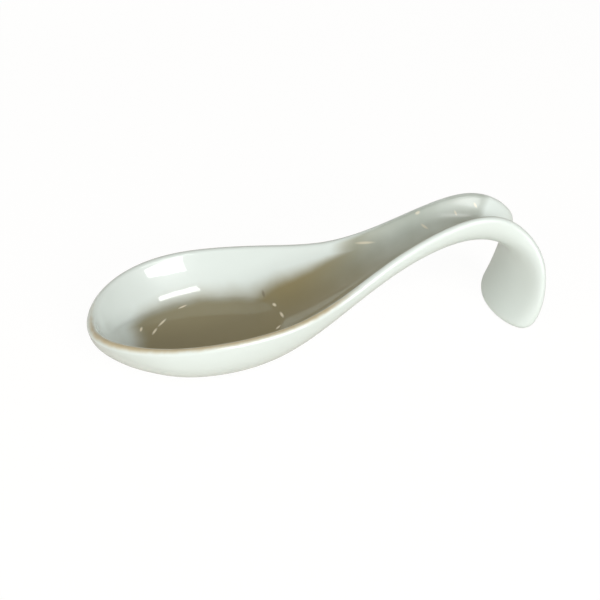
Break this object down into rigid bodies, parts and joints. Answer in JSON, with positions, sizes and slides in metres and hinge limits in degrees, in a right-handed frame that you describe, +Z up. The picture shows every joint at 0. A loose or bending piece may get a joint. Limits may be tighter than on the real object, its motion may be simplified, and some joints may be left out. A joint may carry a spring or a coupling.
{
  "type": "chinese soup spoon",
  "caption": "Glazed porcelain soup spoon with a deep flat-bottomed oval bowl and a channelled handle that arches up and hooks down to the table.",
  "frame": {"origin": "middle of the flat foot under the bowl, on the table", "axes": "+Z up from the table, +X from the nose of the bowl along the handle to the hook, +Y to the far side"},
  "size_m": [0.1279, 0.05, 0.0352],
  "materials": {
    "porcelain": "matte",
    "glaze": "gloss"
  },
  "bodies": {
    "root": {"porcelain_body": "porcelain", "glaze": "glaze"}
  },
  "joints": []
}
